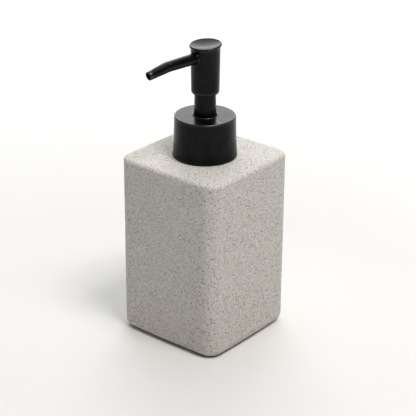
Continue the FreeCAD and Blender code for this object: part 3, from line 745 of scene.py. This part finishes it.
def pad_foam():
    """Dark closed-cell foam, with its skin of small pores."""
    look = Look("pad_foam")
    distance, shade, _ = look.cells(0.55, 0.15)
    colour = look.mix(shade, (0.030, 0.031, 0.033), (0.060, 0.061, 0.063))
    pores = look.span(distance, 0.0, 0.4, 0.0, 1.0)
    look.bump(pores, 0.08, 0.7)
    look.set(Base_Color=colour, Roughness=look.span(shade, 0.0, 1.0, 0.8, 0.95))
    return look.material


def floor_paper():
    """Plain white studio paper, a little less white round the object."""
    look = Look("floor_paper")
    near = look.mix(look.noise(60.0, 3.0), (0.765, 0.750, 0.730), (0.785, 0.770, 0.750))
    far = look.mix(look.noise(60.0, 3.0), (0.915, 0.915, 0.915), (0.935, 0.935, 0.935))
    reach = look.add("ShaderNodeVectorMath", operation="LENGTH")
    look.join(look.place, reach.inputs[0])
    colour = look.mix(look.span(reach.outputs["Value"], 150, 450, 0.0, 1.0), near, far)
    look.bump(look.noise(0.8, 3.0), 0.01, 0.3)
    look.set(Base_Color=colour, Roughness=look.span(look.noise(30.0, 2.0), 0.3, 0.7, 0.85, 0.95),
             Specular_IOR_Level=0.1)
    return look.material


# ---- Studio ----------------------------------------------------------------------------
def make_floor():
    """Flat sheet of paper, wide enough to fill every view."""
    row = FLOOR_STEPS + 1
    marks = [FLOOR_REACH * (2 * k / FLOOR_STEPS - 1) for k in range(row)]
    points = [(across, along, 0) for across in marks for along in marks]
    starts = [row * a + b for a in range(FLOOR_STEPS) for b in range(FLOOR_STEPS)]
    mesh = bpy.data.meshes.new("studio_floor")
    mesh.from_pydata(points, [], [(k, k + row, k + row + 1, k + 1) for k in starts])
    floor = bpy.data.objects.new("studio_floor", mesh)
    bpy.context.scene.collection.objects.link(floor)
    floor.data.materials.append(floor_paper())


def direction(azimuth, elevation):
    """Unit vector towards a place in the studio. Azimuth 0 is the camera's side, 90 its right."""
    side = CAMERA_AZIMUTH + math.radians(azimuth)
    up = math.radians(elevation)
    return Vector((math.sin(side) * math.cos(up), -math.cos(side) * math.cos(up), math.sin(up)))


def soft_box(name, azimuth, elevation, distance, width, height, radiance, colour):
    """Rectangular light that faces the object."""
    light = bpy.data.lights.new(name, "AREA")
    light.shape = "RECTANGLE"
    light.size = width
    light.size_y = height
    light.energy = radiance * math.pi * width * height
    light.color = colour
    lamp = bpy.data.objects.new(name, light)
    bpy.context.scene.collection.objects.link(lamp)
    back = direction(azimuth, elevation)
    lamp.rotation_mode = "QUATERNION"
    lamp.rotation_quaternion = back.to_track_quat("Z", "Y")
    lamp.location = back * distance + Vector((0, 0, LIGHT_AIM_HEIGHT))


def make_world():
    """Dim room, a little brighter behind the object than on the camera's side."""
    world = bpy.data.worlds.new("studio")
    world.use_nodes = True
    tree = world.node_tree
    background = tree.nodes["Background"]
    place = tree.nodes.new("ShaderNodeTexCoord")
    dot = tree.nodes.new("ShaderNodeVectorMath")
    dot.operation = "DOT_PRODUCT"
    dot.inputs[1].default_value = direction(*ROOM_LIGHT_SIDE)
    spread = tree.nodes.new("ShaderNodeMapRange")
    spread.inputs["To Min"].default_value, spread.inputs["To Max"].default_value = ROOM_LIGHT
    tree.links.new(place.outputs["Generated"], dot.inputs[0])
    tree.links.new(dot.outputs["Value"], spread.inputs["Value"])
    tree.links.new(spread.outputs["Result"], background.inputs["Strength"])
    background.inputs["Color"].default_value = (1, 1, 1, 1)
    bpy.context.scene.world = world


def make_studio():
    make_world()
    make_floor()
    for light in LIGHTS:
        soft_box(*light)


def make_camera():
    back = direction(0, math.degrees(CAMERA_HEIGHT))
    right = Vector((math.cos(CAMERA_AZIMUTH), math.sin(CAMERA_AZIMUTH), 0))
    up = back.cross(right)
    across = right * math.cos(CAMERA_ROLL) + up * math.sin(CAMERA_ROLL)
    above = up * math.cos(CAMERA_ROLL) - right * math.sin(CAMERA_ROLL)
    aim = right * CAMERA_AIM[0] + Vector((0, 0, CAMERA_AIM[1]))
    data = bpy.data.cameras.new("camera")
    data.lens = CAMERA_LENS
    data.sensor_width = SENSOR
    camera = bpy.data.objects.new("camera", data)
    bpy.context.scene.collection.objects.link(camera)
    camera.matrix_world = (Matrix.Translation((aim + back * CAMERA_DISTANCE) * MM)
                           @ Matrix((across, above, back)).transposed().to_4x4())
    bpy.context.scene.camera = camera


# ---- Putting it together ---------------------------------------------------------------
SLOT_LOOKS = {
    "speckled_stone": speckled_stone,
    "satin_black": satin_black,
    "moulded_black": moulded_black,
    "natural_plastic": natural_plastic,
    "seal_plastic": seal_plastic,
    "spring_steel": spring_steel,
    "pad_foam": pad_foam,
}

# Maker of a piece, the body that it rides on, the CAD node that it stands for, and its material slot.
NEW_PIECES = [
    (make_bottle, "bottle", "bottle", "speckled_stone"),
    (make_base_pad, "bottle", "base_pad", "pad_foam"),
    (make_collar, "closure", "collar_shell", "satin_black"),
    (make_sleeve, "pump", "guide_sleeve", "satin_black"),
    (make_head_cover, "head", "head_shell", "satin_black"),
    (make_thumb_pad, "head", "thumb_pad", "satin_black"),
    (make_spout, "head", "spout", "satin_black"),
    (make_spring, "pump", "return_spring", "spring_steel"),
]

# CAD nodes that stay, by material slot.
KEPT_NODES = {
    "moulded_black": ["neck_insert", "closure", "stem", "head_core"],
    "natural_plastic": ["pump_housing", "dip_tube", "ball_retainer", "stem_plug"],
    "seal_plastic": ["neck_gasket", "stem_wiper", "piston"],
    "spring_steel": ["inlet_ball"],
}


def dress(piece, material):
    piece.data.materials.clear()
    piece.data.materials.append(material)


def build():
    looks = {slot: make() for slot, make in SLOT_LOOKS.items()}
    for make, body, node, slot in NEW_PIECES:
        piece = make()
        dress(piece, looks[slot])
        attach(piece, body)
        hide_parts(node)
        if node == "return_spring":
            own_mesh(piece)
    for slot, names in KEPT_NODES.items():
        for name in names:
            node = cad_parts[name]
            dress(node, looks[slot])
            node.data.polygons.foreach_set("use_smooth", [True] * len(node.data.polygons))
            node.data.set_sharp_from_angle(angle=SHARP_ANGLE)


build()
make_studio()
make_camera()
bpy.context.scene.view_settings.view_transform = "Standard"
